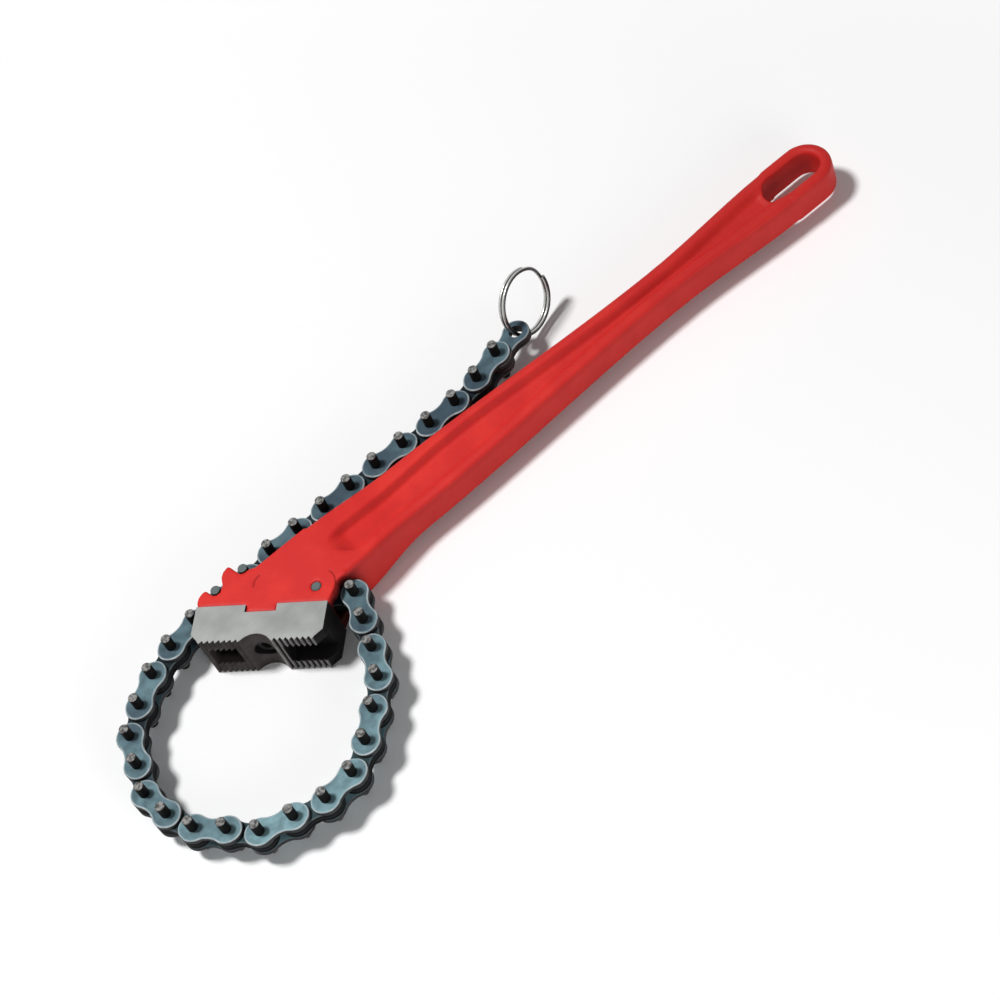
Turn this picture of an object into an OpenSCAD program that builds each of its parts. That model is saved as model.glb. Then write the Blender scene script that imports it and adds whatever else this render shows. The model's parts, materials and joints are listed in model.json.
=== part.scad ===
// Chain pipe wrench: a forged handle with a fork head and a hanging eye, a toothed jaw screwed to
// the head, a flat-link chain whose long pins hook into the head, and a split ring on its end.
// The wrench lies flat: X runs along the handle to the eye, Y to the hook side, Z up.
// The origin is on the handle's centre line, on the head's underside, level with the anchor pin.
// All sizes are in millimetres and degrees.

/* [Chain] */
// Distance between neighbouring pins
pitch = 15.875; // [15:0.125:16.5]
// Thickness of one plate
plate_t = 2.4; // [1.8:0.1:2.8]
// Radius of a plate's round ends
lobe_r = 6.4; // [5.8:0.1:6.8]
// Half width of a plate at its waist
waist_h = 4.3; // [3.2:0.1:5.2]
// Radius of the pins
pin_r = 2.4; // [1.8:0.1:2.8]
// Length of the pins, which stand out on both sides of the plates
pin_len = 25; // [22:0.5:28]
// Radius of the hole for the split ring in the end link
ring_hole_r = 3.5; // [3.2:0.1:4]

/* [Head] */
// Thickness of the fork head
head_t = 25; // [22:0.5:28]
// Distance of the anchor pin from the handle's centre line
anchor_off = 15.1; // [14:0.1:16.5]
// Distance of the anchor pin behind the jaw's seat
anchor_back = 8.7; // [8:0.1:10]
// Distance of the anchor pin from the jaw's middle, along the seat
anchor_side = 24.7; // [23.5:0.1:26]
// Radius of the cheeks round the anchor pin
boss_r = 9.6; // [8.4:0.1:10.5]
// Distance of the outer notch behind the jaw's outer end, along the handle
seat_in = 11.63; // [11:0.01:13]
// Distance of the notches past the jaw's outer end, across the handle
seat_up = 1.87; // [1:0.01:3]
// Height of the outer hook over the middle of its pin
hook_1_h = 3.5; // [2.8:0.1:4.5]
// Height of the inner hook over the middle of its pin
hook_2_h = 6.2; // [4.5:0.1:7.5]

/* [Handle] */
// Thickness of the shank and the eye
shank_t = 17; // [14:0.5:20]
// Width of the shank behind the head
neck_w = 31.2; // [28:0.2:33]
// Width of the shank at its narrowest
waist_w = 18.4; // [16.5:0.2:24]
// Distance of the narrowest place from the anchor pin
waist_x = 218; // [190:1:240]
// Distance of the eye's hole from the anchor pin
eye_x = 283; // [270:1:300]
// Length of the eye's hole
hole_l = 32; // [26:0.5:40]
// Width of the eye's hole
hole_w = 15; // [12:0.5:18]
// Width of the rim round the eye's hole
rim_w = 5.8; // [5:0.1:7]
// Depth of the groove along each face of the shank
groove_d = 4; // [2:0.1:5]
// Width of the crest beside the groove
crest_w = 5; // [4:0.1:5.4]
// Width of the crest on the hooks' side where the groove starts
crest_start = 10.5; // [8:0.1:11]

/* [Jaw] */
// Angle of the jaw's seat to the handle
jaw_angle = 44; // [42:0.5:46]
// Width of the jaw along its seat
jaw_w = 64; // [62:0.5:66]
// Depth of the jaw from the seat to the tooth tips
jaw_d = 19.5; // [18:0.5:22]
// Thickness of the jaw
jaw_t = 26.5; // [25.5:0.5:29]
// Distance between neighbouring teeth
tooth_pitch = 2.75; // [2:0.05:3.5]
// Height of the teeth
tooth_h = 1.5; // [1:0.1:2]
// Width of the tongue that keys the jaw to the head
tongue_w = 15; // [13:0.5:17]
// Height of the tongue
tongue_d = 3.7; // [3:0.1:4.2]
// Radius of the jaw screw's shank
screw_r = 3; // [2.5:0.1:3.4]
// Radius of the jaw screw's head
screw_head_r = 4.6; // [4.2:0.1:5]
// Height of the jaw screw's head
screw_head_h = 5; // [4:0.1:6]

/* [Ring] */
// Radius of the split ring, to the middle of its wire
ring_r = 16; // [14:0.5:20]
// Thickness of the ring's wire
wire_d = 1.6; // [1.2:0.1:1.8]
// Rise of the ring out of the end link
ring_rise = 18; // [14:1:24]
// Lean of the ring, where 90 stands upright
ring_lean = 75; // [65:1:85]

/* [Fits] */
// Radial clearance of a plate that turns on a pin
run_clear = 0.05; // [0.02:0.01:0.1]
// Gap between neighbouring plates
plate_gap = 0.15; // [0.1:0.05:0.3]
// Radial clearance of a pin in a notch
seat_clear = 0.35; // [0.3:0.05:0.6]
// Clearance round the chain inside the fork
slot_gap = 1; // [0.8:0.1:1.4]
// Gap between the shank and the chain that lies along it
side_gap = 0.6; // [0.4:0.1:1.2]

/* [Hidden] */
$fn = 64;
links = 33;
press_clear = 0.01;
key_clear = 0.15;
merge = 0.02;
mid = head_t / 2;

function dir(a) = [cos(a), sin(a)];
function mix(a, b, s) = a + (b - a) * s;
function ease(x, a, b) = let (s = min(1, max(0, (x - a) / (b - a)))) s * s * (3 - 2 * s);

// Anchor pin, notches and jaw, in plan
jaw_heading = -jaw_angle;
anchor = [0, -anchor_off];
jaw_mid = anchor - anchor_side * dir(jaw_heading) - anchor_back * dir(jaw_heading + 90);
seat_left = jaw_mid - jaw_w / 2 * dir(jaw_heading);
seat_right = jaw_mid + jaw_w / 2 * dir(jaw_heading);
seat_1 = seat_left + [seat_in, seat_up];
seat_2 = seat_1 + [pitch, 0];

// Lay of the chain: the turn at each pin of the loop, in whole degrees as it lies in use.
// The first turn and one common factor are then solved so that the loop ends on the outer notch.
loop_turns = [1, 4, 19, 4, 10, 26, 20, 4, 31, -1, 22, 13, 26, 0, 29, 8, 12, 12, 5];
first_turn = -67;
solve_steps = 8;
turn_step = 0.01;
factor_step = 0.001;
// Headings of the links that lie along the shank, up to the end link
tail_headings = [0, 0, 2, 2, -2, -2, 2, 11, 17, 18];
tail_y = neck_w / 2 + lobe_r + side_gap;
tail_lead = asin((tail_y - seat_1.y) / pitch);

function sum_to(list, n) = n == 0 ? 0 : list[n - 1] + sum_to(list, n - 1);
function loop_headings(turn, factor) =
    [for (i = [0 : len(loop_turns)]) jaw_heading + turn - factor * sum_to(loop_turns, i)];
function walk(p, headings, k = 0) =
    k == len(headings) ? [p] : concat([p], walk(p + pitch * dir(headings[k]), headings, k + 1));
pin_1 = anchor + pitch * dir(jaw_heading);
function loop_miss(turn, factor) =
    let (p = walk(pin_1, loop_headings(turn, factor))) p[len(p) - 1] - seat_1;
function solved(turn, factor, steps) = steps == 0 ? [turn, factor] :
    let (
        e = loop_miss(turn, factor),
        da = (loop_miss(turn + turn_step, factor) - e) / turn_step,
        db = (loop_miss(turn, factor + factor_step) - e) / factor_step,
        det = da.x * db.y - da.y * db.x
    )
    solved(turn - (e.x * db.y - e.y * db.x) / det, factor - (da.x * e.y - da.y * e.x) / det, steps - 1);

lay = solved(first_turn, 1, solve_steps);
loop = walk(pin_1, loop_headings(lay[0], lay[1]));
tail = walk(seat_2, concat([tail_lead], tail_headings));
// Pin 0 is the anchor pin, and the last place is the ring's hole. Link k joins pins k and k + 1.
pins = concat([anchor], loop, tail);
function heading(k) = let (d = pins[k + 1] - pins[k]) atan2(d.y, d.x);
seat_link = len(loop);

// Plates
leaf_gap = 0.1;
outer_z = leaf_gap / 2 + plate_t + plate_gap;
stack_t = 2 * (outer_z + plate_t);
waist_r = (pitch * pitch / 4 + waist_h * waist_h - lobe_r * lobe_r) / (2 * (lobe_r - waist_h));
waist_y = waist_h + waist_r;
tangent_y = lobe_r * waist_y / (lobe_r + waist_r);
pin_chamfer = 0.5;

// Fork
slot_r = lobe_r + slot_gap;
slot_t = stack_t + 2 * slot_gap;
lip = pin_r + seat_clear;
hook_l = pitch - lip - 1.2;
hook_lean = 0.2;
hook_root = 9;
boss_turn = -30;

// Shank
head_end = 14;
blend_x = 62;
flare = 4.5;
flare_x = 55;
neck_x = 60;
groove_x = 16;
groove_run = 10;
groove_round = 15;
crest_x = 110;
groove_end = 3;
slope_w = 4;
edge_r = 2.8;
rim_round = 2.1;
floor_min = 0.3;
step_in = 0.1;
stations = 46;
station_power = 1.9;
eye_w = hole_w + 2 * rim_w;
eye_a = eye_x + hole_w / 2;
eye_b = eye_x + hole_l - hole_w / 2;

// Jaw
arch_half = 6.5;
arch_h = 2.6;
end_land = 3;
chamfer_v = 5;
pocket_d = 9;
pocket_near = 11;
pocket_wall = 6;
pocket_over = 2;
blind_pocket_h = 12;
open_pocket_h = 14;
pocket_r = 1.5;
bore_r = screw_head_r + 0.4;
screw_clear = 0.2;
bore_floor = tongue_d + 5;
screw_reach = 14;
hex_r = 2.9;
hex_d = 3;

// Ring
coil_start = 25;
coil_end = 695;
coil_step = 10;
cross_from = 335;
cross_to = 385;
wire_sides = 8;

module plate(near_r, far_r) {
    linear_extrude(plate_t)
        difference() {
            union() {
                circle(lobe_r);
                translate([pitch, 0])
                    circle(lobe_r);
                difference() {
                    translate([0, -tangent_y])
                        square([pitch, 2 * tangent_y]);
                    for (side = [-1, 1])
                        translate([pitch / 2, side * waist_y])
                            circle(waist_r + merge);
                }
            }
            circle(near_r);
            translate([pitch, 0])
                circle(far_r);
        }
}

// Two like plates, the same height above and below the middle
module plate_pair(z, near_r, far_r) {
    for (base = [z, -z - plate_t])
        translate([0, 0, base])
            plate(near_r, far_r);
}

module at_link(k)
    translate([pins[k].x, pins[k].y, mid])
        rotate(heading(k))
            children();

module pin(length) {
    half = length / 2;
    rotate_extrude()
        polygon([
            [0, -half], [pin_r - pin_chamfer, -half], [pin_r, pin_chamfer - half],
            [pin_r, half - pin_chamfer], [pin_r - pin_chamfer, half], [0, half]
        ]);
}

module inner_link(i) {
    k = 2 * (i - 1);
    run_r = pin_r + run_clear;
    color("SlateGray")
        at_link(k)
            plate_pair(leaf_gap / 2, run_r, k == links - 1 ? ring_hole_r : run_r);
}

module outer_plates(i) {
    press_r = pin_r + press_clear;
    color("LightSlateGray")
        at_link(2 * i - 1)
            plate_pair(outer_z, press_r, press_r);
}

module link_pins(i) {
    color("Silver")
        at_link(2 * i - 1)
            for (x = [0, pitch])
                translate([x, 0, 0])
                    pin(pin_len);
}

module anchor_pin() {
    color("DimGray")
        translate([anchor.x, anchor.y, mid])
            pin(head_t - 2 * step_in);
}

// Room for the chain between the cheeks, from link a to link b
module chain_slot(a, b) {
    translate([0, 0, mid - slot_t / 2])
        linear_extrude(slot_t)
            for (k = [a : b])
                translate(pins[k])
                    rotate(heading(k)) {
                        circle(slot_r);
                        translate([pitch, 0])
                            circle(slot_r);
                        translate([0, merge - slot_r])
                            square([pitch, 2 * (slot_r - merge)]);
                    }
}

module fork_slots() {
    chain_slot(0, 0);
    chain_slot(seat_link - 1, seat_link + 2);
}

// Plan frame of the jaw: x along the seat, y into the head
module at_jaw()
    translate(jaw_mid)
        rotate(jaw_heading)
            children();

module hook(seat, tip_h)
    translate(seat)
        polygon([
            [-hook_l, -hook_root], [-hook_l, tip_h - 6.2], [-hook_l + 1.8, tip_h - 2.5],
            [-hook_l + 4.3, tip_h - 0.5], [-hook_l + 6.7, tip_h], [-lip - hook_lean * tip_h, tip_h],
            [-lip, 0], [-lip, -hook_root]
        ]);

module cheek_shape() {
    side = step_in + half_w(head_end);
    near = step_in + near_w(head_end);
    difference() {
        union() {
            difference() {
                union() {
                    polygon([
                        seat_left, seat_right, anchor + boss_r * dir(boss_turn), [head_end, -near],
                        [head_end, side], [seat_2.x + 4.6, side], [seat_2.x + 1.5, seat_2.y - 2.2],
                        [seat_1.x - lip, seat_1.y - 0.4], [seat_left.x + 1.5, seat_1.y - 0.4]
                    ]);
                    translate(anchor)
                        circle(boss_r);
                    hook(seat_1, hook_1_h);
                    hook(seat_2, hook_2_h);
                }
                at_jaw()
                    translate([-jaw_w, -jaw_w])
                        square([2 * jaw_w, jaw_w]);
            }
            at_jaw()
                translate([-tongue_w / 2, -tongue_d])
                    square([tongue_w, tongue_d + 1]);
        }
        for (seat = [seat_1, seat_2])
            translate(seat)
                circle(lip);
    }
}

// Half width of the shank on its far side and on its near side, half thickness and groove depth
function half_w(x) = (x < waist_x ? mix(neck_w, waist_w, ease(x, neck_x, waist_x))
    : mix(waist_w, eye_w - 2 * step_in, ease(x, waist_x, eye_a))) / 2;
function near_w(x) = half_w(x) + flare * (1 - ease(x, head_end, flare_x));
function half_h(x) = mix(head_t, shank_t, ease(x, head_end, blend_x)) / 2 - step_in;
function groove(x) = groove_d * ease(x, groove_x, groove_x + groove_run)
    * (1 - ease(x, eye_x - groove_end, eye_a));
function far_crest(x) = mix(crest_start, crest_w, ease(x, groove_x, crest_x));
// Share of the groove's width at x: its end by the head is round
function opening(x) = let (u = min(1, max(0, (x - groove_x) / groove_round))) sqrt(u * (2 - u));

// Quarter of the shank's section, from the groove's floor over the crest to the side
function quarter(w, t, g, wide) = let (brink = max(2 * floor_min, wide)) concat(
    [for (s = [0 : 0.25 : 1])
        [mix(max(floor_min, brink - slope_w), brink, s), t - g * (1 + cos(180 * s)) / 2]],
    [for (a = [90 : -22.5 : 0]) [w - edge_r + edge_r * cos(a), t - edge_r + edge_r * sin(a)]]
);
function flip(list) = [for (i = [len(list) - 1 : -1 : 0]) list[i]];
function section(x) = let (
        far = quarter(half_w(x), half_h(x), groove(x), (half_w(x) - far_crest(x)) * opening(x)),
        near = quarter(near_w(x), half_h(x), groove(x), (near_w(x) - crest_w) * opening(x))
    )
    concat(
        [for (p = far) [x, p.x, mid + p.y]], [for (p = flip(far)) [x, p.x, mid - p.y]],
        [for (p = near) [x, -p.x, mid - p.y]], [for (p = flip(near)) [x, -p.x, mid + p.y]]
    );

// Solid through a row of like rings of points, closed at each end round the ring's centre
function centre(ring) = [for (axis = [0 : 2]) sum_to([for (p = ring) p[axis]], len(ring)) / len(ring)];
module loft(rings) {
    n = len(rings[0]);
    last = len(rings) - 1;
    start = (last + 1) * n;
    sides = [for (r = [0 : last - 1]) for (i = [0 : n - 1])
        let (a = r * n + i, b = r * n + (i + 1) % n)
        for (tri = [[a, b, b + n], [a, b + n, a + n]]) tri];
    caps = [for (i = [0 : n - 1])
        let (j = (i + 1) % n)
        for (tri = [[start, j, i], [start + 1, last * n + i, last * n + j]]) tri];
    polyhedron(
        concat([for (ring = rings) for (p = ring) p], [centre(rings[0]), centre(rings[last])]),
        concat(sides, caps)
    );
}

module shank() {
    from = head_end - 4;
    to = eye_a + 1;
    loft([for (i = [0 : stations]) section(mix(from, to, pow(i / stations, station_power)))]);
}

module rim_section() {
    r = rim_round;
    h = shank_t / 2 - r;
    for (x = [r - rim_w / 2, rim_w / 2 - r])
        for (y = [-h, h])
            translate([x, y])
                circle(r);
    square([rim_w, 2 * h], center = true);
    square([rim_w - 2 * r, shank_t], center = true);
}

module eye_rim() {
    ring = (hole_w + rim_w) / 2;
    translate([0, 0, mid]) {
        translate([eye_b, 0, 0])
            rotate(-90)
                rotate_extrude(angle = 180)
                    translate([ring, 0])
                        rim_section();
        for (side = [-1, 1])
            translate([eye_a, side * ring, 0])
                rotate([90, 0, 90])
                    linear_extrude(eye_b - eye_a)
                        rim_section();
    }
}

module eye_hole() {
    linear_extrude(head_t) {
        for (x = [eye_a, eye_b])
            translate([x, 0])
                circle(d = hole_w);
        translate([eye_a, -hole_w / 2])
            square([eye_b - eye_a, hole_w]);
    }
}

// Runs along the jaw screw from its tip's depth in the head, outwards
module along_screw(depth)
    translate([0, 0, mid])
        at_jaw()
            translate([0, depth, 0])
                rotate([90, 0, 0])
                    children();

module handle() {
    color("Crimson")
        difference() {
            union() {
                linear_extrude(head_t)
                    cheek_shape();
                difference() {
                    shank();
                    eye_hole();
                }
                eye_rim();
            }
            fork_slots();
            translate(anchor)
                cylinder(r = pin_r + press_clear, h = head_t);
            along_screw(screw_reach + 1)
                cylinder(r = screw_r + press_clear, h = screw_reach + 1 + tongue_d);
        }
}

// Recess in the toothed face, from a to b along the jaw
module pocket(a, b, h) {
    w = abs(b - a);
    translate([(a + b) / 2, -jaw_d - 1, mid])
        rotate([-90, 0, 0])
            linear_extrude(pocket_d + 1) {
                square([w - 2 * pocket_r, h], center = true);
                square([w, h - 2 * pocket_r], center = true);
                for (sx = [-1, 1])
                    for (sy = [-1, 1])
                        translate([sx * (w / 2 - pocket_r), sy * (h / 2 - pocket_r)])
                            circle(pocket_r);
            }
}

// Jaw in plan: seat at y = 0, tooth tips at the front, teeth raked towards the ends
module jaw_shape() {
    teeth = floor((jaw_w / 2 - arch_half - end_land) / tooth_pitch);
    root = tooth_h - jaw_d;
    toe = arch_half + teeth * tooth_pitch;
    rake = 0.65;
    half = concat(
        [[jaw_w / 2, 0], [jaw_w / 2, chamfer_v - jaw_d], [toe, root]],
        [for (i = [teeth - 1 : -1 : 0]) let (x = arch_half + i * tooth_pitch)
            for (p = [[x + rake * tooth_pitch, -jaw_d], [x, root]]) p]
    );
    arch_r = (arch_half * arch_half + arch_h * arch_h) / (2 * arch_h);
    key_w = tongue_w / 2 + key_clear;
    difference() {
        polygon(concat(half, [for (p = flip(half)) [-p.x, p.y]]));
        translate([0, root - arch_r + arch_h])
            circle(arch_r);
        translate([-key_w, -tongue_d - key_clear])
            square([2 * key_w, tongue_d + key_clear + 1]);
    }
}

module jaw() {
    color("Gray")
        difference() {
            at_jaw()
                difference() {
                    translate([0, 0, mid - jaw_t / 2])
                        linear_extrude(jaw_t)
                            jaw_shape();
                    pocket(-pocket_near, -(jaw_w / 2 - pocket_wall), blind_pocket_h);
                    pocket(pocket_near, jaw_w / 2 + pocket_over, open_pocket_h);
                }
            along_screw(1)
                cylinder(r = screw_r + screw_clear, h = jaw_d + 2);
            along_screw(-bore_floor)
                cylinder(r = bore_r, h = jaw_d);
            fork_slots();
        }
}

module jaw_screw() {
    color("DarkSlateGray")
        difference() {
            union() {
                along_screw(screw_reach)
                    cylinder(r = screw_r, h = screw_reach + bore_floor + merge);
                along_screw(-bore_floor)
                    cylinder(r = screw_head_r, h = screw_head_h);
            }
            along_screw(-bore_floor - screw_head_h + hex_d)
                cylinder(r = hex_r, h = hex_d + 1, $fn = 6);
        }
}

// Two close turns of wire, crossing from one level to the other over a short stretch
module split_ring() {
    level = wire_d + leaf_gap;
    rings = [for (a = [coil_start : coil_step : coil_end])
        let (z = level * (ease(a, cross_from, cross_to) - 0.5))
        [for (i = [0 : wire_sides - 1])
            let (b = 360 * i / wire_sides, r = ring_r + wire_d / 2 * cos(b))
            [r * cos(a), r * sin(a), z - wire_d / 2 * sin(b)]]];
    end = pins[links];
    color("Gainsboro")
        translate([end.x, end.y, mid])
            rotate(heading(links - 1))
                rotate([0, -ring_rise, 0])
                    rotate([ring_lean, 0, 0])
                        translate([ring_r, 0, 0])
                            loft(rings);
}

function name(stem, i) = str(stem, i < 10 ? "_0" : "_", i);
inner_count = (links + 1) / 2;
outer_count = (links - 1) / 2;

handle();
jaw();
jaw_screw();
anchor_pin();
split_ring();
for (i = [1 : inner_count])
    inner_link(i);
for (i = [1 : outer_count])
    outer_plates(i);
for (i = [1 : outer_count])
    link_pins(i);
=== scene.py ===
import json
import math

import bmesh
import bpy
from bpy.props import FloatProperty, FloatVectorProperty, IntProperty, PointerProperty
from mathutils import Matrix, Vector


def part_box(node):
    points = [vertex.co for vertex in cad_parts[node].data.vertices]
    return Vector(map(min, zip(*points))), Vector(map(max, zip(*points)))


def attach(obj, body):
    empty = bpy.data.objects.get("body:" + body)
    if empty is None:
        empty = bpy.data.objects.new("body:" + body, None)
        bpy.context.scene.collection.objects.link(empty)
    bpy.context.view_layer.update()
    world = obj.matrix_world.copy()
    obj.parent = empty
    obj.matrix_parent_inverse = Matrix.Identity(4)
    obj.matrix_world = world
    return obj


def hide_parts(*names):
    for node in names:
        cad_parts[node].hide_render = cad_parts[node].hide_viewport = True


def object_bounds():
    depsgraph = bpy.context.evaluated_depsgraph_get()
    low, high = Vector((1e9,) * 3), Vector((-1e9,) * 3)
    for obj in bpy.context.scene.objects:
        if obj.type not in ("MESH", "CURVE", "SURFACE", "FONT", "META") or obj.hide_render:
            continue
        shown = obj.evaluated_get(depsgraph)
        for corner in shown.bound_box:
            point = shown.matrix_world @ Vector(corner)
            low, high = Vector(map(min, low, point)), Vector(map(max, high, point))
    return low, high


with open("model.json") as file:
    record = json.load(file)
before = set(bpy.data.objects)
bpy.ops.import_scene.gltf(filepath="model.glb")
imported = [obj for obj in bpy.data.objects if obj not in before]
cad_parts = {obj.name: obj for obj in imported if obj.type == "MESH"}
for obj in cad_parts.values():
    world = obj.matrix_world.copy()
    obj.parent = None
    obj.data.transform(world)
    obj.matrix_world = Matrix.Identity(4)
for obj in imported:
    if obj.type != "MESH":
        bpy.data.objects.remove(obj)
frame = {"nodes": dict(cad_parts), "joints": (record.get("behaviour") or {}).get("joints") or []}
CAD_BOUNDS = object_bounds()

bl_info = {
    "name": "Chain Pipe Wrench",
    "version": (1, 0, 0),
    "blender": (4, 5, 0),
    "location": "View3D > Sidebar > Wrench",
    "description": "Dresses the frame of a chain pipe wrench and sets up its studio",
    "category": "Object",
}

MM = 0.001
NODES = frame["nodes"]
# Chain pins from the anchor to the ring's hole, in the order of the joints
PIVOTS = [Vector(joint["pos_m"]) for joint in frame["joints"]]
# The anchor and the two pins that lie in the notches of the head
HELD_PINS = (0, 21, 22)
PITCH = (PIVOTS[1] - PIVOTS[0]).length
MID_Z = PIVOTS[0].z
LINKS = len(PIVOTS) - 1
INNER_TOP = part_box("inner_link_01")[1][2] - MID_Z
OUTER_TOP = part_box("outer_plates_01")[1][2] - MID_Z
PIN_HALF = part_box("link_pins_01")[1][2] - MID_Z
PIN_R = (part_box("anchor_pin")[1][0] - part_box("anchor_pin")[0][0]) / 2
# Direction of the jaw's long side, from the hooks to the anchor
JAW_RUN = (PIVOTS[1] - PIVOTS[0]).normalized()
# Places along that direction, of the jaw's middle and of its screw
ANCHOR_TO_JAW_MID = 24.7 * MM
JAW_MID = PIVOTS[0].dot(JAW_RUN) - ANCHOR_TO_JAW_MID
SCREW_MID = sum(map(Vector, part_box("jaw_screw")), Vector()).dot(JAW_RUN) / 2
JAW_HALF = (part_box("jaw")[1][2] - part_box("jaw")[0][2]) / 2
FLOOR_Z = CAD_BOUNDS[0][2]
# Middle of the wrench on the floor, where the floor turns white, and its own glow near the wrench
FLOOR_MIDDLE = (0.09, -0.04)
FLOOR_FADE = (0.27, 0.5)
FLOOR_GLOW = 0.02
# Sides of the round meshes
BORE_SIDES = 24
PIN_SIDES = 24
WIRE_SIDES = 12
# Start, end and step of the wire round the ring, and where it crosses to its second turn, in degrees
WIRE_TURNS = (25, 696, 5)
CROSSING = (335, 385)


def length(name, text, value):
    """A property in metres."""
    return FloatProperty(name=name, description=text, default=value, unit="LENGTH")


def angle(name, text, degrees):
    """A property that is an angle."""
    return FloatProperty(name=name, description=text, default=math.radians(degrees), subtype="ANGLE")


def place(name, text, value):
    """A property that is a point."""
    return FloatVectorProperty(name=name, description=text, default=value, size=3, subtype="TRANSLATION")


def tint(name, text, value):
    """A property that is a colour."""
    return FloatVectorProperty(name=name, description=text, default=value, size=3, subtype="COLOR",
                               min=0, max=1)


class ChainSizes(bpy.types.PropertyGroup):
    """Sizes of the chain's pieces"""

    plate: length("Plate", "Thickness of one plate", 2.4 * MM)
    lobe: length("Lobe", "Radius of a plate's round ends", 6.85 * MM)
    nose: length("Nose", "Reach of an outer plate's round ends past their circle", 0.5 * MM)
    waist: length("Waist", "Half width of a plate's waist", 4.9 * MM)
    edge: length("Edge", "Rounding of a plate's edges", 0.55 * MM)
    bore: length("Bore", "Clearance of a bore round its pin", 0.05 * MM)
    end_bore: length("End bore", "Radius of the ring's hole", 3.5 * MM)
    pin_round: length("Pin end", "Rounding of a pin's ends", 0.6 * MM)
    arc_steps: IntProperty(name="Arc steps", description="Points on a plate's round end", default=22, min=8)


class RingSizes(bpy.types.PropertyGroup):
    """Sizes of the split ring"""

    radius: length("Radius", "To the middle of the wire", 16 * MM)
    wire: length("Wire", "Thickness of the wire", 1.9 * MM)
    gap: length("Gap", "Between the two turns", 0.1 * MM)
    rise: angle("Rise", "Out of the end link", 26)
    swing: angle("Swing", "Sideways from the end link", 10)
    lean: angle("Lean", "Upright at 90 degrees", 75)


class ForgingSizes(bpy.types.PropertyGroup):
    """Softness of the forged and machined pieces"""

    grain: length("Grain", "Cell of the handle's remesh", 0.7 * MM)
    soften: IntProperty(name="Soften", description="Rounds of smoothing on the handle", default=8, min=0)
    jaw_edge: length("Jaw edge", "Rounding of the jaw's edges", 0.3 * MM)


class Finishes(bpy.types.PropertyGroup):
    """Colours of the finishes, scene linear"""

    enamel: tint("Enamel", "Red enamel of the handle", (0.68, 0.030, 0.023))
    # this colour is also the base of the handle's painted shade and painted shadow
    enamel_deep_and_shade: tint("Deep enamel", "Enamel where it lies thick", (0.59, 0.022, 0.020))
    plate_blue: tint("Blue plate", "Blued side of the plates", (0.048, 0.079, 0.104))
    plate_teal: tint("Teal plate", "Greener and paler places of the plates", (0.220, 0.370, 0.410))
    plate_side: tint("Plate side", "Sheared side of the plates", (0.046, 0.043, 0.045))
    # the rim colour is partly wear and partly a painted highlight on the plates' upper edges
    plate_rim_wear_and_highlight: tint("Plate rim", "Worn edge of the plates", (0.56, 0.63, 0.65))
    pin: tint("Pin end", "Ends of the chain pins", (0.30, 0.30, 0.29))
    pin_dull: tint("Dull pin end", "Ends of the pins that lie in the head", (0.125, 0.150, 0.150))
    # the round of the pins is painted near black as shade
    pin_side_shade: tint("Pin side", "Round of the chain pins", (0.006, 0.006, 0.006))
    jaw_top: tint("Jaw top", "Ground sides of the jaw", (0.405, 0.415, 0.405))
    # this black is also the painted shade in the jaw's pockets and counterbore
    jaw_dark_and_shade: tint("Jaw teeth", "Hardened ends of the jaw", (0.006, 0.005, 0.005))
    # the flank colour is partly wear and partly a painted highlight
    jaw_wear_and_highlight: tint("Tooth flanks", "Worn flanks of the jaw's teeth", (0.40, 0.38, 0.38))
    jaw_brown: tint("Jaw front", "Browner front of the jaw, by the hooks", (0.062, 0.052, 0.050))
    screw: tint("Screw", "Black oxide of the jaw's screw", (0.03, 0.03, 0.032))
    ring: tint("Ring", "Plated wire", (0.62, 0.62, 0.60))
    ring_dark: tint("Ring seam", "Shaded seam between the ring's turns", (0.05, 0.05, 0.05))
    floor: tint("Floor", "Studio floor", (0.93, 0.93, 0.93))


class StageSizes(bpy.types.PropertyGroup):
    """Camera and light of the studio"""

    lens: FloatProperty(name="Lens", description="In millimetres on a 36 mm sensor", default=90.54)
    aim: place("Aim", "Point in the middle of the picture", (0.08717, -0.04342, 0.025))
    distance: length("Distance", "From camera to aim", 1.1315)
    bearing: angle("Bearing", "Heading of the view from +Y", -15.1)
    tilt: angle("Tilt", "View below the horizon", 52.36)
    roll: angle("Roll", "Turn of the picture", 27.22)
    key: FloatProperty(name="Key", description="Power of the key lamp", default=81)
    key_size: length("Key size", "Width of the key lamp", 0.6)
    key_place: place("Key place", "High on the side of the hooks", (-0.71, 0.705, 2.80))
    fill: FloatProperty(name="Fill", description="Power of the low lamp in front", default=4.8)
    fill_size: length("Fill size", "Width of the low lamp", 0.7)
    fill_place: place("Fill place", "Low in front of the wrench", (0.1, -1.2, 0.35))
    lamp_aim: place("Lamp aim", "Point that the lamps face", (0.1, 0, 0))
    ambient: FloatProperty(name="Ambient", description="Strength of the surrounding light", default=0.15)
    floor_half: length("Floor", "Half width of the floor", 4.0)


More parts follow.
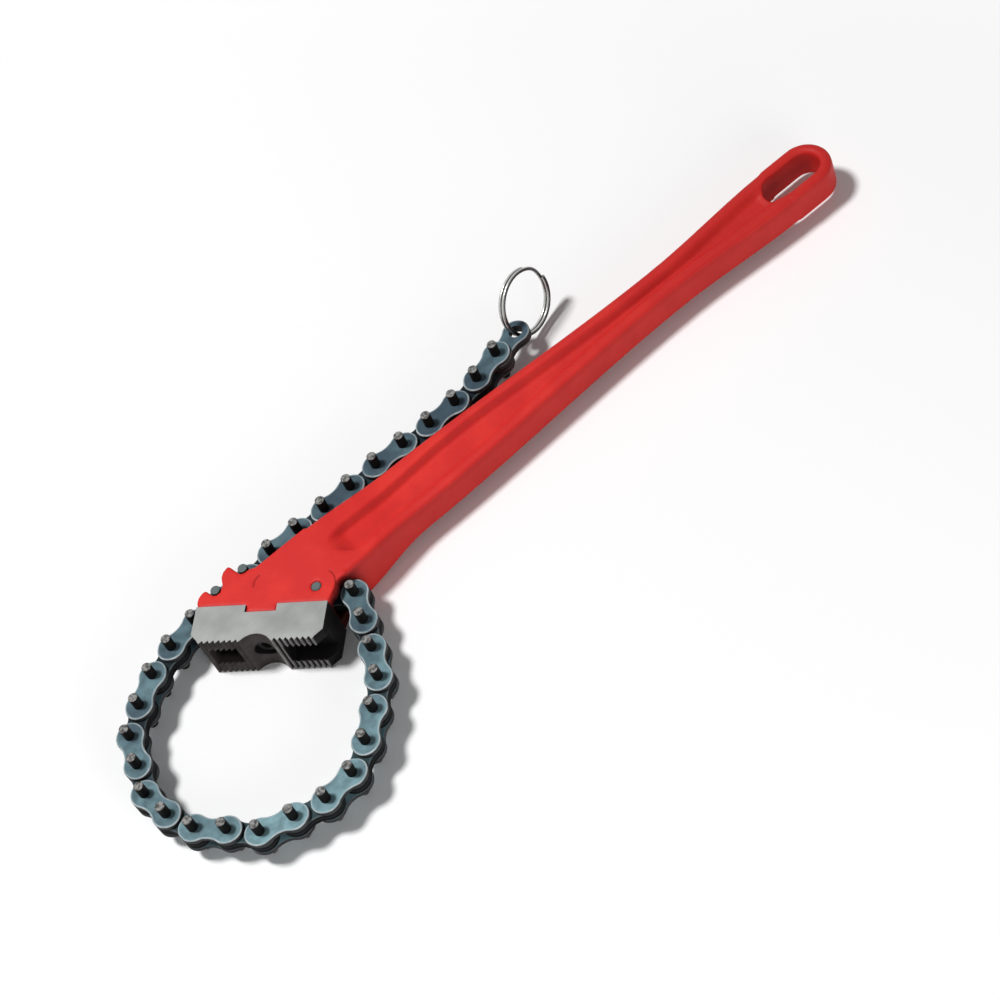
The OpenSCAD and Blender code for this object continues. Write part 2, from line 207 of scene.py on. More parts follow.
class Wire:
    """A shader socket that takes part in arithmetic: an expression on values adds its Math nodes."""

    def __init__(self, tree, socket):
        self.tree = tree
        self.socket = socket

    def node(self, kind, settings=None, inputs=None, out=0):
        """Adds a node of that type, with its settings and the values or links of its sockets."""
        made = self.tree.nodes.new(kind)
        for key, value in (settings or {}).items():
            setattr(made, key, value)
        for key, value in (inputs or {}).items():
            if isinstance(value, Wire):
                self.tree.links.new(value.socket, made.inputs[key])
            elif made.inputs[key].type == "RGBA":
                made.inputs[key].default_value = (*value[:3], 1)
            else:
                made.inputs[key].default_value = value
        return Wire(self.tree, made.outputs[out])

    def math(self, operation, first, second=0.0):
        """One Math node."""
        return self.node("ShaderNodeMath", {"operation": operation}, {0: first, 1: second})

    def __add__(self, other):
        return self.math("ADD", self, other)

    __radd__ = __add__

    def __sub__(self, other):
        return self.math("SUBTRACT", self, other)

    def __rsub__(self, other):
        return self.math("SUBTRACT", other, self)

    def __mul__(self, other):
        return self.math("MULTIPLY", self, other)

    __rmul__ = __mul__

    def __pow__(self, other):
        return self.math("POWER", self, other)

    def clamp(self):
        """This value, held between 0 and 1."""
        return self.math("MINIMUM", self.math("MAXIMUM", self, 0.0), 1.0)

    def ramp(self, low, high):
        """0 below low, 1 above high, smooth between."""
        return self.node("ShaderNodeMapRange", {"interpolation_type": "SMOOTHSTEP"},
                         {"Value": self, "From Min": low, "From Max": high})

    def mix(self, first, second):
        """Colour between first and second, by this value."""
        return self.node("ShaderNodeMix", {"data_type": "RGBA"}, {0: self, 6: first, 7: second}, 2)

    def noise(self, scale, detail=3.0, stretch=(1, 1, 1)):
        """Noise on this coordinate, in features per metre."""
        stretched = self.node("ShaderNodeMapping", None, {"Vector": self, "Scale": stretch})
        return self.node("ShaderNodeTexNoise", None, {"Vector": stretched, "Scale": scale, "Detail": detail})


def finish(name, metallic=0.0, specular=0.5):
    """A new material, its Principled node and the object coordinate to paint it with."""
    material = bpy.data.materials.new(name)
    material.use_nodes = True
    tree = material.node_tree
    shader = tree.nodes["Principled BSDF"]
    shader.inputs["Metallic"].default_value = metallic
    shader.inputs["Specular IOR Level"].default_value = specular
    coordinate = tree.nodes.new("ShaderNodeTexCoord").outputs["Object"]
    return material, shader, Wire(tree, coordinate)


def paint(shader, where, colour, roughness, height, depth):
    """Links the varying colour, roughness and relief of a finish; depth is that of the relief."""
    tree = where.tree
    tree.links.new(colour.socket, shader.inputs["Base Color"])
    tree.links.new(roughness.socket, shader.inputs["Roughness"])
    bump = where.node("ShaderNodeBump", None, {"Height": height, "Distance": depth, "Strength": 1.0})
    tree.links.new(bump.socket, shader.inputs["Normal"])


def shade(colour, level):
    """The colour times the level."""
    return [level * part for part in colour]


def axes(where):
    """The three coordinates as values."""
    split = where.node("ShaderNodeSeparateXYZ", None, {0: where}).socket.node.outputs
    return [Wire(where.tree, socket) for socket in split]


def normals(where):
    """The three components of the surface's direction."""
    return axes(where.node("ShaderNodeNewGeometry", out="Normal"))


def facing_up(where):
    """1 on level faces, 0 on upright ones."""
    return where.math("ABSOLUTE", normals(where)[2])


def reach_from(x, y, centre):
    """Distance from the centre, in plan."""
    return ((x - centre[0]) ** 2 + (y - centre[1]) ** 2) ** 0.5


def arc_line(x, y, centre, radius, width):
    """1 on a circle about the centre, 0 at the line's width from it."""
    return 1 - x.math("ABSOLUTE", reach_from(x, y, centre) - radius).ramp(0, width)


def red_enamel(colours):
    """Red enamel of the forged handle."""
    material, shader, where = finish("forged_enamel", specular=0.16)
    x, y, z = axes(where)
    flow = where.noise(60, detail=4)
    peel = where.noise(1400, detail=2)
    scale = where.noise(260, detail=5)
    # traces of the two forged bosses on the head
    boss = arc_line(x, y, PIVOTS[0], radius=9.4 * MM, width=0.6 * MM)
    boss_part = x.ramp(2 * MM, 4 * MM) * (1 - y.ramp(-14 * MM, -12 * MM))
    stub = arc_line(x, y, (-15.8 * MM, 3.8 * MM), radius=6.2 * MM, width=0.8 * MM)
    stub_part = (1 - x.ramp(-16 * MM, -14.5 * MM)) * y.ramp(6.4 * MM, 7.4 * MM)
    trace = (boss * boss_part + stub * stub_part).clamp() * z.ramp(MID_Z, 2 * MID_Z - MM)
    enamel = flow.ramp(0.35, 0.7).mix(colours.enamel_deep_and_shade, colours.enamel)
    # the groove's wall on the near side is as light as its floor and gets none of the painted shade on
    # upright sides
    toward_hooks = normals(where)[1]
    hook_half = y.ramp(-MM, 2 * MM)
    lit_wall = toward_hooks.ramp(0.05, 0.4) * (1 - hook_half)
    upright = (1 - facing_up(where).ramp(0.6, 0.97)) * (1 - lit_wall)
    # painted shade on upright sides and on the rounded far edge, and darker along the shank toward the eye
    toward_eye = x.ramp(60 * MM, 290 * MM) * (1 - upright)
    far_edge = toward_hooks.ramp(0.1, 0.6) * hook_half
    painted_shade_and_tone = upright * 0.40 + toward_eye * 0.6 + far_edge * 0.4
    coated = painted_shade_and_tone.clamp().mix(enamel, shade(colours.enamel_deep_and_shade, 0.65))
    # painted shadow of the chain, nearly black, round the mouth of the fork
    mouth = reach_from(x, y, (6 * MM, -24 * MM))
    painted_shadow = (1 - mouth.ramp(7 * MM, 17 * MM)) * (1 - z.ramp(20.5 * MM, 24.3 * MM))
    shadowed = (painted_shadow * 0.95).mix(coated, shade(colours.enamel_deep_and_shade, 0.06))
    colour = (trace * 0.6).mix(shadowed, shade(colours.enamel_deep_and_shade, 0.35))
    relief = peel * 0.3 + scale - trace * 3
    paint(shader, where, colour, roughness=0.42 + 0.16 * scale, height=relief, depth=0.1 * MM)
    return material


def chain_steel(colours, name="link_steel", level=1.0):
    """Blued steel of the plates, with bright worn edges that are partly a painted highlight; a low level
    darkens it all as painted shade.
    """
    material, shader, where = finish(name, specular=0.12 * level)
    blue = shade(colours.plate_blue, level)
    teal = shade(colours.plate_teal, level)
    sheared = shade(colours.plate_side, level)
    up = facing_up(where).ramp(0.55, 0.95)
    rim = where.node("ShaderNodeAttribute", {"attribute_name": "rim"}, out="Fac")
    hue = where.noise(45, detail=2)
    mottle = where.noise(220, detail=5)
    scratch = where.noise(900, detail=2, stretch=(1, 0.15, 1))
    # the loop's far end is paler than the tail
    x, y, _ = axes(where)
    tail = y.ramp(-110 * MM, -20 * MM) * 0.64 + x.ramp(-95 * MM, 10 * MM) * 0.22
    pale = 0.76 - tail + hue.ramp(0.35, 0.65) * 0.4
    blued = pale.clamp().mix(blue, teal)
    face = (mottle.ramp(0.3, 0.75) * 0.5).mix(blued, shade(blue, 0.6))
    side = mottle.ramp(0.35, 0.7).mix(shade(sheared, 0.5), sheared)
    # edges are bright as wear, and brightest on the upper edge as a painted highlight
    worn_and_highlit = (rim * (1.9 * mottle - 0.26)).clamp()
    colour = worn_and_highlit.mix(up.mix(side, face), colours.plate_rim_wear_and_highlight)
    relief = mottle + 0.5 * scratch
    paint(shader, where, colour, roughness=0.45 + 0.2 * mottle, height=relief, depth=0.05 * MM)
    return material


def shaded_inner_steel(colours):
    """The inner plates, darkened all over as painted shade between the outer plates."""
    return chain_steel(colours, "shaded_inner_link_steel", level=0.25)


def pin_steel(colours):
    """Pins with bright, rough ends and sides painted near black as shade; those held in the head are dull.
    """
    material, shader, where = finish("rivet_steel", specular=0.05)
    up = facing_up(where).ramp(0.35, 0.8)
    mottle = where.noise(600, detail=4)
    turned = where.noise(1800, detail=2, stretch=(0.1, 0.1, 1))
    x, y, _ = axes(where)
    near, far = PIN_R ** 2, 1.5 * PIN_R ** 2
    held = [1 - ((x - PIVOTS[k].x) ** 2 + (y - PIVOTS[k].y) ** 2).ramp(near, far) for k in HELD_PINS]
    bright = mottle.ramp(0.38, 0.62).mix(shade(colours.pin, 0.25), colours.pin)
    end = sum(held).clamp().mix(bright, colours.pin_dull)
    # painted shade: the round of each pin is near black
    colour = up.mix(colours.pin_side_shade, end)
    paint(shader, where, colour, roughness=0.40 + 0.2 * mottle, height=turned + mottle, depth=0.03 * MM)
    return material


def jaw_steel(colours):
    """Ground sides, and a dark hardened front with worn teeth by the anchor; painted shade in the pockets
    and the screw's counterbore.
    """
    material, shader, where = finish("hardened_jaw", specular=0.12)
    x, y, z = axes(where)
    mottle = where.noise(160, detail=6)
    cloud = where.noise(50, detail=2)
    ground = where.noise(700, detail=3, stretch=(0.3, 1, 1))
    # only the two outer sides are ground, not the floors of the pockets
    height = where.math("ABSOLUTE", z - MID_Z)
    outermost = height.ramp(JAW_HALF - 0.8 * MM, JAW_HALF - 0.3 * MM)
    ground_side = facing_up(where).ramp(0.6, 0.97) * outermost
    grey = cloud.ramp(0.3, 0.7) * 0.85 + ground.ramp(0.3, 0.7) * 0.15
    top = grey.mix(shade(colours.jaw_top, 0.7), colours.jaw_top)
    # brown by the hooks, black by the anchor, and painted shade that darkens the pockets the deeper they go,
    # with mottle
    along = x * JAW_RUN.x + y * JAW_RUN.y - JAW_MID
    front = along.ramp(5 * MM, 9 * MM).mix(colours.jaw_brown, colours.jaw_dark_and_shade)
    depth = where.node("ShaderNodeAttribute", {"attribute_name": "depth"}, out="Fac")
    hollow = (mottle.ramp(0.3, 0.7) * 0.5 + depth.ramp(3 * MM, 9 * MM)).clamp()
    shaded_front = hollow.mix(front, colours.jaw_dark_and_shade)
    # the tip of each tooth is worn; the flank that faces the hooks and the key lamp is lightened, partly
    # wear and partly painted highlight
    across, inward, _ = normals(where)
    facing_hooks = (across * -JAW_RUN.x - inward * JAW_RUN.y).ramp(0.3, 0.7)
    flank_wear_and_highlight = facing_hooks * (1 - depth.ramp(1.2 * MM, 2.2 * MM))
    tip = 1 - depth.ramp(0.4 * MM, 0.9 * MM)
    wear_and_highlight = (flank_wear_and_highlight + tip * 0.6) * (0.2 + mottle) * along.ramp(6 * MM, 7 * MM)
    dark = wear_and_highlight.clamp().mix(shaded_front, colours.jaw_wear_and_highlight)
    # painted shade: the counterbore of the screw is black
    bore = ((along + JAW_MID - SCREW_MID) ** 2 + height ** 2) ** 0.5
    bore_shaded = bore.ramp(5 * MM, 5.6 * MM).mix(colours.jaw_dark_and_shade, dark)
    colour = ground_side.mix(bore_shaded, top)
    relief = mottle + 0.1 * ground
    paint(shader, where, colour, roughness=0.45 + 0.2 * mottle, height=relief, depth=0.04 * MM)
    return material


def screw_black(colours):
    """Black oxide of the jaw's screw."""
    material, shader, where = finish("oxide_screw", metallic=0.4)
    mottle = where.noise(600, detail=4)
    colour = mottle.mix(shade(colours.screw, 0.6), colours.screw)
    paint(shader, where, colour, roughness=0.35 + 0.2 * mottle, height=mottle, depth=0.03 * MM)
    return material


def ring_wire(colours):
    """Plated wire with painted shade on the sides of each turn that face along the ring's axis, where the
    turns meet.
    """
    material, shader, where = finish("ring_wire", metallic=0.9)
    mottle = where.noise(700, detail=3)
    wire_shade = where.node("ShaderNodeAttribute", {"attribute_name": "wire_shade"}, out="Fac")
    bright = mottle.mix(shade(colours.ring, 0.7), colours.ring)
    colour = wire_shade.ramp(0.2, 0.95).mix(bright, colours.ring_dark)
    paint(shader, where, colour, roughness=0.2 + 0.15 * mottle, height=mottle, depth=0.02 * MM)
    return material


def material_named(name, maker):
    """The material of that name, made once."""
    return bpy.data.materials.get(name) or maker(bpy.context.scene.wrench_finishes)


def crease(bm, degrees):
    """Smooth shading, with sharp edges where faces meet at more than that angle."""
    for face in bm.faces:
        face.smooth = True
    for edge in bm.edges:
        edge.smooth = len(edge.link_faces) == 2 and edge.calc_face_angle(0.0) < math.radians(degrees)


def add_object(name, mesh):
    """A new object at the origin."""
    piece = bpy.data.objects.new(name, mesh)
    bpy.context.collection.objects.link(piece)
    return piece


def evaluated_mesh(piece, name):
    """The plain mesh that the object's modifiers make."""
    depsgraph = bpy.context.evaluated_depsgraph_get()
    mesh = bpy.data.meshes.new_from_object(piece.evaluated_get(depsgraph))
    mesh.name = name
    return mesh


def solid_copy(node):
    """A merged copy of a CAD node's mesh, as a bmesh."""
    bm = bmesh.new()
    bm.from_mesh(NODES[node].data)
    bm.transform(NODES[node].matrix_world)
    bmesh.ops.remove_doubles(bm, verts=bm.verts, dist=0.002 * MM)
    return bm


def settle(piece, body, slot, *nodes):
    """Puts a finished piece on its body, in place of the CAD nodes that it stands for."""
    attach(piece, body)
    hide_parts(*nodes)


class WRENCH_OT_handle(bpy.types.Operator):
    """Makes the forged handle with softened edges and red enamel"""

    bl_idname = "wrench.handle"
    bl_label = "Handle"

    def execute(self, context):
        sizes = context.scene.wrench_forging
        bm = solid_copy("handle")
        mesh = bpy.data.meshes.new("forging")
        bm.to_mesh(mesh)
        bm.free()
        blank = add_object("forging", mesh)
        remesh = blank.modifiers.new("grain", "REMESH")
        remesh.mode = "VOXEL"
        remesh.voxel_size = sizes.grain
        smooth = blank.modifiers.new("soften", "SMOOTH")
        smooth.factor = 0.5
        smooth.iterations = sizes.soften
        made = evaluated_mesh(blank, "handle_forging")
        bpy.data.objects.remove(blank)
        for polygon in made.polygons:
            polygon.use_smooth = True
        made.materials.append(material_named("forged_enamel", red_enamel))
        settle(add_object("handle_forging", made), "wrench", "red_enamel", "handle")
        return {"FINISHED"}


class WRENCH_OT_jaw(bpy.types.Operator):
    """Makes the toothed jaw with broken edges"""

    bl_idname = "wrench.jaw"
    bl_label = "Jaw"

    def execute(self, context):
        sizes = context.scene.wrench_forging
        bm = solid_copy("jaw")
        bmesh.ops.dissolve_limit(bm, angle_limit=math.radians(1), verts=bm.verts, edges=bm.edges)
        mesh = bpy.data.meshes.new("jaw_block")
        bm.to_mesh(mesh)
        bm.free()
        blank = add_object("jaw_block", mesh)
        bevel = blank.modifiers.new("edges", "BEVEL")
        bevel.width = sizes.jaw_edge
        bevel.segments = 2
        bevel.limit_method = "ANGLE"
        bevel.angle_limit = math.radians(25)
        made = evaluated_mesh(blank, "toothed_jaw")
        bpy.data.objects.remove(blank)
        bm = bmesh.new()
        bm.from_mesh(made)
        crease(bm, degrees=35)
        depth = bm.verts.layers.float.new("depth")
        inward = Vector((-JAW_RUN.y, JAW_RUN.x, 0))
        tips = min(vert.co.dot(inward) for vert in bm.verts)
        for vert in bm.verts:
            vert[depth] = vert.co.dot(inward) - tips
        bm.to_mesh(made)
        bm.free()
        made.materials.append(material_named("hardened_jaw", jaw_steel))
        settle(add_object("toothed_jaw", made), "wrench", "jaw_steel", "jaw")
        return {"FINISHED"}


def plate_outline(sizes, inset, nose):
    """Plan of a plate, drawn in by the inset: two round ends, with a nose, joined by hollow waists."""
    half = PITCH / 2
    lobe, waist = sizes.lobe - inset, sizes.waist - inset
    hollow = (half ** 2 + waist ** 2 - lobe ** 2) / (2 * (lobe - waist))
    centre = waist + hollow
    meet = math.atan2(centre, half)
    steps = sizes.arc_steps
    points = []
    for turn in (0, math.pi):
        flip = math.cos(turn)
        # round end, then the hollow that leads to the other end
        for i in range(steps + 1):
            turned = (math.pi - meet) * (2 * i / steps - 1)
            reach = lobe + nose * max(0, math.cos(turned)) ** 2
            points.append((flip * (half + reach * math.cos(turned)), flip * lobe * math.sin(turned)))
        spread = math.pi / 2 - meet
        for i in range(1, steps // 2):
            turned = spread * (1 - 2 * i / (steps // 2))
            points.append((flip * hollow * math.sin(turned), flip * (centre - hollow * math.cos(turned))))
    return [(x + half, y) for x, y in points]


def plate_mesh(name, sizes, near, far, shine, nose=0.0):
    """One plate with rounded edges, from z = 0 up, its near bore at the origin.

    near and far are the radii of its bores, shine is the wear and painted highlight of its upper edge.
    """
    bm = bmesh.new()
    rim = bm.verts.layers.float.new("rim")
    edge, top = sizes.edge, sizes.plate
    corner = 0.3 * edge
    # inset, height and wear with painted highlight of each ring of the outline; the last keeps them off the
    # face
    levels = [(edge, 0, 0.0), (corner, corner, 0.03), (0, edge, 0.0), (0, top - edge, 0.0),
              (corner, top - corner, shine), (edge, top, 0.6 * shine), (1.8 * edge, top, 0.0)]
    rings = []
    for inset, z, wear_and_highlight in levels:
        ring = [bm.verts.new((x, y, z)) for x, y in plate_outline(sizes, inset, nose)]
        for vert in ring:
            vert[rim] = wear_and_highlight
        rings.append(ring)
    count = len(rings[0])
    for low, high in zip(rings, rings[1:]):
        for i in range(count):
            j = (i + 1) % count
            bm.faces.new((low[i], low[j], high[j], high[i]))
    bores = {0: [], top: []}
    for x, radius in ((0, near), (PITCH, far)):
        turns = [math.tau * i / BORE_SIDES for i in range(BORE_SIDES)]
        plan = [(x + radius * math.cos(a), radius * math.sin(a)) for a in turns]
        low, high = ([bm.verts.new((*point, z)) for point in plan] for z in (0, top))
        for i in range(BORE_SIDES):
            j = (i + 1) % BORE_SIDES
            bm.faces.new((low[j], low[i], high[i], high[j]))
        bores[0].append(low)
        bores[top].append(high)
    for z, outline in ((0, rings[0]), (top, rings[-1])):
        loops = [outline, *bores[z]]
        edges = [bm.edges.get(pair) for loop in loops for pair in zip(loop, loop[1:] + loop[:1])]
        bmesh.ops.triangle_fill(bm, use_beauty=True, use_dissolve=False, edges=edges)
    bmesh.ops.recalc_face_normals(bm, faces=bm.faces)
    crease(bm, degrees=50)
    mesh = bpy.data.meshes.new(name)
    bm.to_mesh(mesh)
    bm.free()
    return mesh


def pin_mesh(name, sizes):
    """One pin with rounded ends, its middle at the origin."""
    bm = bmesh.new()
    curve = sizes.pin_round
    steps = 4
    arc = [math.pi / 2 * i / steps for i in range(steps + 1)]
    side = [(PIN_R - curve + curve * math.sin(a), PIN_HALF - curve + curve * math.cos(a)) for a in arc]
    side += [(r, -z) for r, z in reversed(side)]
    turns = [math.tau * i / PIN_SIDES for i in range(PIN_SIDES)]
    rings = [[bm.verts.new((r * math.cos(a), r * math.sin(a), z)) for a in turns] for r, z in side]
    for high, low in zip(rings, rings[1:]):
        for i in range(PIN_SIDES):
            j = (i + 1) % PIN_SIDES
            bm.faces.new((low[i], low[j], high[j], high[i]))
    bm.faces.new(rings[0])
    bm.faces.new(list(reversed(rings[-1])))
    bmesh.ops.recalc_face_normals(bm, faces=bm.faces)
    crease(bm, degrees=40)
    mesh = bpy.data.meshes.new(name)
    bm.to_mesh(mesh)
    bm.free()
    return mesh


def pair_tree():
    """Geometry Nodes: two copies of a piece, the second turned over or moved on, laid on a link."""
    tree = bpy.data.node_groups.new("link_pair", "GeometryNodeTree")
    tree.is_modifier = True
    face = tree.interface
    face.new_socket("Geometry", in_out="INPUT", socket_type="NodeSocketGeometry")
    for label, kind in (("Lift", "NodeSocketVector"), ("Second Turn", "NodeSocketVector"),
                        ("Second Lift", "NodeSocketVector"), ("Place", "NodeSocketVector"),
                        ("Heading", "NodeSocketVector"), ("Finish", "NodeSocketMaterial")):
        face.new_socket(label, in_out="INPUT", socket_type=kind)
    face.new_socket("Geometry", in_out="OUTPUT", socket_type="NodeSocketGeometry")
    given = tree.nodes.new("NodeGroupInput").outputs

    def step(kind, links):
        """Adds a node and links its inputs."""
        made = tree.nodes.new(kind)
        for key, socket in links:
            tree.links.new(socket, made.inputs[key])
        return made

    piece = step("GeometryNodeGeometryToInstance", [("Geometry", given["Geometry"])]).outputs[0]
    first = step("GeometryNodeTransform", [("Geometry", piece), ("Translation", given["Lift"])]).outputs[0]
    second = step("GeometryNodeTransform", [("Geometry", piece), ("Rotation", given["Second Turn"]),
                                            ("Translation", given["Second Lift"])]).outputs[0]
    both = step("GeometryNodeJoinGeometry", [("Geometry", first), ("Geometry", second)]).outputs[0]
    laid = step("GeometryNodeTransform", [("Geometry", both), ("Translation", given["Place"]),
                                          ("Rotation", given["Heading"])]).outputs[0]
    real = step("GeometryNodeRealizeInstances", [("Geometry", laid)]).outputs[0]
    coated = step("GeometryNodeSetMaterial", [("Geometry", real), ("Material", given["Finish"])]).outputs[0]
    step("NodeGroupOutput", [("Geometry", coated)])
    return tree


def lay_pair(name, mesh, link, first, second, turn, coat):
    """Sets two copies of a mesh on a link of the chain and returns the plain object."""
    tree = bpy.data.node_groups.get("link_pair") or pair_tree()
    blank = add_object(name + "_blank", mesh)
    modifier = blank.modifiers.new("pair", "NODES")
    modifier.node_group = tree
    run = PIVOTS[link + 1] - PIVOTS[link]
    values = {"Lift": first, "Second Lift": second, "Second Turn": turn, "Place": PIVOTS[link],
              "Heading": (0, 0, math.atan2(run.y, run.x)), "Finish": coat}
    for item in tree.interface.items_tree:
        if item.in_out == "INPUT" and item.name in values:
            modifier[item.identifier] = values[item.name]
    made = evaluated_mesh(blank, name)
    blank.modifiers.remove(modifier)
    bpy.data.objects.remove(blank)
    return add_object(name, made)


def lay_plates(name, mesh, link, lift, coat):
    """Sets a plate on a link, and below it the same plate turned over."""
    return lay_pair(name, mesh, link, (0, 0, lift), (0, 0, -lift), (math.pi, 0, 0), coat)


class WRENCH_OT_inner_links(bpy.types.Operator):
    """Makes the pairs of plates inside the chain"""

    bl_idname = "wrench.inner_links"
    bl_label = "Inner links"

    def execute(self, context):
        sizes = context.scene.wrench_chain
        # the inner plates take a darker copy of the steel as painted shade; the end plate does not
        shaded_coat = material_named("shaded_inner_link_steel", shaded_inner_steel)
        unshaded_coat = material_named("link_steel", chain_steel)
        lift = INNER_TOP - sizes.plate
        loose = PIN_R + sizes.bore
        plain = plate_mesh("inner_plate", sizes, loose, loose, shine=0.15)
        end = plate_mesh("end_plate", sizes, loose, sizes.end_bore, shine=0.7)
        for link in range(0, LINKS, 2):
            number = link // 2 + 1
            mesh, coat = (end, unshaded_coat) if link == LINKS - 1 else (plain, shaded_coat)
            piece = lay_plates(f"inner_pair_{number:02d}", mesh, link, lift, coat)
            settle(piece, f"inner_{number:02d}", "chain_steel", f"inner_link_{number:02d}")
        return {"FINISHED"}


class WRENCH_OT_outer_links(bpy.types.Operator):
    """Makes the pairs of plates outside the chain"""

    bl_idname = "wrench.outer_links"
    bl_label = "Outer links"

    def execute(self, context):
        sizes = context.scene.wrench_chain
        coat = material_named("link_steel", chain_steel)
        lift = OUTER_TOP - sizes.plate
        mesh = plate_mesh("outer_plate", sizes, PIN_R, PIN_R, shine=1.0, nose=sizes.nose)
        for link in range(1, LINKS, 2):
            number = (link + 1) // 2
            piece = lay_plates(f"outer_pair_{number:02d}", mesh, link, lift, coat)
            settle(piece, f"outer_{number:02d}", "chain_steel", f"outer_plates_{number:02d}")
        return {"FINISHED"}


class WRENCH_OT_pins(bpy.types.Operator):
    """Makes the long pins of the outer links"""

    bl_idname = "wrench.pins"
    bl_label = "Pins"

    def execute(self, context):
        coat = material_named("rivet_steel", pin_steel)
        mesh = pin_mesh("pin", context.scene.wrench_chain)
        for link in range(1, LINKS, 2):
            number = (link + 1) // 2
            piece = lay_pair(f"pin_pair_{number:02d}", mesh, link, (0, 0, 0), (PITCH, 0, 0), (0, 0, 0), coat)
            settle(piece, f"outer_{number:02d}", "pin_steel", f"link_pins_{number:02d}")
        return {"FINISHED"}


class WRENCH_OT_ring(bpy.types.Operator):
    """Makes the split ring of round wire"""

    bl_idname = "wrench.ring"
    bl_label = "Split ring"

    def execute(self, context):
        sizes = context.scene.wrench_ring
        run = PIVOTS[LINKS] - PIVOTS[LINKS - 1]
        heading = math.atan2(run.y, run.x) + sizes.swing
        hung = (Matrix.Translation(PIVOTS[LINKS]) @ Matrix.Rotation(heading, 4, "Z")
                @ Matrix.Rotation(-sizes.rise, 4, "Y") @ Matrix.Rotation(sizes.lean, 4, "X")
                @ Matrix.Translation((sizes.radius, 0, 0)))
        bm = bmesh.new()
        wire_shade = bm.verts.layers.float.new("wire_shade")
        rings = []
        for turn in range(*WIRE_TURNS):
            cross = min(1.0, max(0.0, (turn - CROSSING[0]) / (CROSSING[1] - CROSSING[0])))
            level = (sizes.wire + sizes.gap) * (cross * cross * (3 - 2 * cross) - 0.5)
            turned = math.radians(turn)
            ring = []
            for i in range(WIRE_SIDES):
                round_wire = math.tau * i / WIRE_SIDES
                reach = sizes.radius + sizes.wire / 2 * math.cos(round_wire)
                ring.append(bm.verts.new((reach * math.cos(turned), reach * math.sin(turned),
                                          level + sizes.wire / 2 * math.sin(round_wire))))
                # painted shade on the sides of the wire that face along the ring's axis
                ring[-1][wire_shade] = abs(math.sin(round_wire))
            rings.append(ring)
        for first, second in zip(rings, rings[1:]):
            for i in range(WIRE_SIDES):
                j = (i + 1) % WIRE_SIDES
                bm.faces.new((first[i], first[j], second[j], second[i]))
        bm.faces.new(rings[0])
        bm.faces.new(rings[-1])
        bmesh.ops.recalc_face_normals(bm, faces=bm.faces)
        crease(bm, degrees=50)
        bm.transform(hung)
        mesh = bpy.data.meshes.new("wire_ring")
        bm.to_mesh(mesh)
        bm.free()
        mesh.materials.append(material_named("ring_wire", ring_wire))
        settle(add_object("wire_ring", mesh), "ring", "ring_plate", "split_ring")
        return {"FINISHED"}


class WRENCH_OT_fasteners(bpy.types.Operator):
    """Finishes the jaw's screw and the anchor pin"""

    bl_idname = "wrench.fasteners"
    bl_label = "Fasteners"

    def execute(self, context):
        coats = (("jaw_screw", "oxide_screw", screw_black), ("anchor_pin", "rivet_steel", pin_steel))
        for node, name, maker in coats:
            NODES[node].data.materials.clear()
            NODES[node].data.materials.append(material_named(name, maker))
        return {"FINISHED"}


def seen_ray(start):
    """1 for what the camera sees, straight, in a mirror or through glass, 0 for light on things."""
    rays = start.node("ShaderNodeLightPath").socket.node.outputs
    kinds = ("Is Camera Ray", "Is Glossy Ray", "Is Transmission Ray")
    return sum(Wire(start.tree, rays[kind]) for kind in kinds).clamp()


def studio_floor(colours):
    """Pale floor that keeps the shadows near the wrench and shows white far from it."""
    material, shader, where = finish("studio_floor", specular=0.0)
    shader.inputs["Base Color"].default_value = (*colours.floor, 1)
    shader.inputs["Roughness"].default_value = 0.9
    tree = material.node_tree
    x, y, _ = axes(where)
    away = reach_from(x, y, FLOOR_MIDDLE).ramp(*FLOOR_FADE)
    glow = where.node("ShaderNodeEmission")
    share = seen_ray(where) * (FLOOR_GLOW + (1 - FLOOR_GLOW) * away)
    both = where.node("ShaderNodeMixShader", None, {0: share, 1: Wire(tree, shader.outputs[0]), 2: glow})
    tree.links.new(both.socket, tree.nodes["Material Output"].inputs["Surface"])
    return material


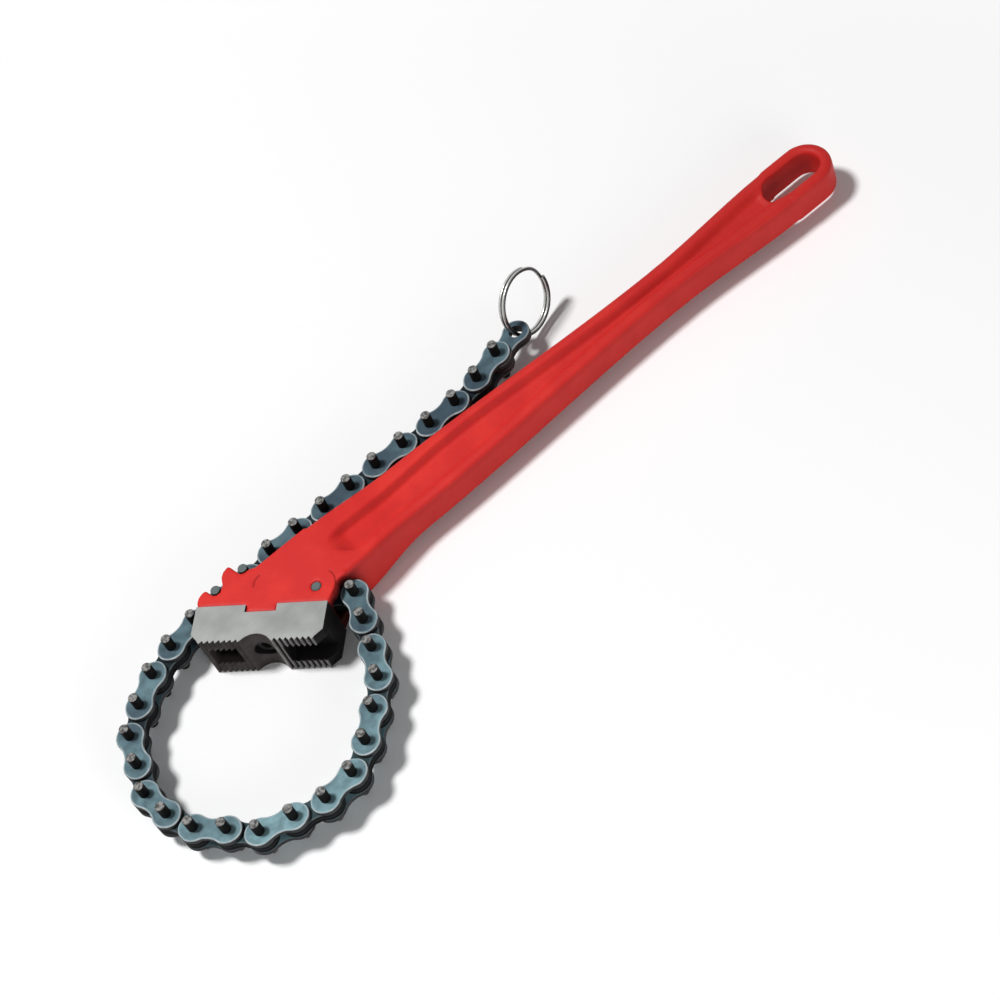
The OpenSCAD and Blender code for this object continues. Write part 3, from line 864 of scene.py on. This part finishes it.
class WRENCH_OT_stage(bpy.types.Operator):
    """Sets up the floor, the light and the camera"""

    bl_idname = "wrench.stage"
    bl_label = "Stage"

    def execute(self, context):
        sizes = context.scene.wrench_stage
        scene = context.scene
        scene.view_settings.view_transform = "Standard"
        bm = bmesh.new()
        bmesh.ops.create_grid(bm, x_segments=1, y_segments=1, size=sizes.floor_half)
        bmesh.ops.translate(bm, verts=bm.verts, vec=(0, 0, FLOOR_Z))
        mesh = bpy.data.meshes.new("studio_floor")
        bm.to_mesh(mesh)
        bm.free()
        mesh.materials.append(studio_floor(scene.wrench_finishes))
        add_object("studio_floor", mesh)
        self.light(scene, sizes)
        self.camera(scene, sizes)
        return {"FINISHED"}

    def light(self, scene, sizes):
        """White surroundings that light things only a little, a key lamp and a low fill lamp."""
        world = bpy.data.worlds.new("studio")
        world.use_nodes = True
        scene.world = world
        backdrop = world.node_tree.nodes["Background"]
        backdrop.inputs["Color"].default_value = (1, 1, 1, 1)
        seen = seen_ray(Wire(world.node_tree, None))
        level = sizes.ambient + (1 - sizes.ambient) * seen
        world.node_tree.links.new(level.socket, backdrop.inputs["Strength"])
        self.lamp("key", sizes.key, sizes.key_size, sizes.key_place, sizes.lamp_aim)
        self.lamp("fill", sizes.fill, sizes.fill_size, sizes.fill_place, sizes.lamp_aim)

    def lamp(self, name, power, size, stand, aim):
        """A round lamp that faces the aim."""
        lamp = bpy.data.lights.new(name, "AREA")
        lamp.shape = "DISK"
        lamp.size = size
        lamp.energy = power
        holder = bpy.data.objects.new(name, lamp)
        holder.location = stand
        facing = Vector(aim) - holder.location
        holder.rotation_euler = facing.to_track_quat("-Z", "Y").to_euler()
        bpy.context.collection.objects.link(holder)

    def camera(self, scene, sizes):
        """The photograph's camera."""
        lens = bpy.data.cameras.new("photo_camera")
        lens.lens = sizes.lens
        lens.sensor_width = 36
        camera = bpy.data.objects.new("photo_camera", lens)
        bearing, tilt, roll = sizes.bearing, sizes.tilt, sizes.roll
        right = Vector((math.cos(bearing), math.sin(bearing), 0))
        away = Vector((-math.sin(bearing), math.cos(bearing), 0))
        ahead = away * math.cos(tilt) - Vector((0, 0, math.sin(tilt)))
        above = away * math.sin(tilt) + Vector((0, 0, math.cos(tilt)))
        side = right * math.cos(roll) - above * math.sin(roll)
        top = above * math.cos(roll) + right * math.sin(roll)
        stand = Vector(sizes.aim) - ahead * sizes.distance
        turn = Matrix((side, top, -ahead)).transposed().to_4x4()
        camera.matrix_world = Matrix.Translation(stand) @ turn
        bpy.context.collection.objects.link(camera)
        scene.camera = camera


class WRENCH_PT_panel(bpy.types.Panel):
    """Lists the wrench's makers"""

    bl_label = "Chain pipe wrench"
    bl_idname = "WRENCH_PT_panel"
    bl_space_type = "VIEW_3D"
    bl_region_type = "UI"
    bl_category = "Wrench"

    def draw(self, context):
        for operator in OPERATORS:
            self.layout.operator(operator.bl_idname)
        for group in GROUPS:
            settings = getattr(context.scene, group)
            for name in settings.bl_rna.properties.keys():
                if name not in {"rna_type", "name"}:
                    self.layout.prop(settings, name)


OPERATORS = (WRENCH_OT_handle, WRENCH_OT_jaw, WRENCH_OT_inner_links, WRENCH_OT_outer_links, WRENCH_OT_pins,
             WRENCH_OT_ring, WRENCH_OT_fasteners, WRENCH_OT_stage)
GROUPS = {"wrench_chain": ChainSizes, "wrench_ring": RingSizes, "wrench_forging": ForgingSizes,
          "wrench_finishes": Finishes, "wrench_stage": StageSizes}
CLASSES = (*GROUPS.values(), *OPERATORS, WRENCH_PT_panel)


def register():
    for cls in CLASSES:
        bpy.utils.register_class(cls)
    for name, group in GROUPS.items():
        setattr(bpy.types.Scene, name, PointerProperty(type=group))


def unregister():
    for name in GROUPS:
        delattr(bpy.types.Scene, name)
    for cls in reversed(CLASSES):
        bpy.utils.unregister_class(cls)


def main():
    """Makes every piece and the stage."""
    register()
    bpy.ops.wrench.handle()
    bpy.ops.wrench.jaw()
    bpy.ops.wrench.inner_links()
    bpy.ops.wrench.outer_links()
    bpy.ops.wrench.pins()
    bpy.ops.wrench.ring()
    bpy.ops.wrench.fasteners()
    bpy.ops.wrench.stage()


if __name__ == "__main__":
    main()
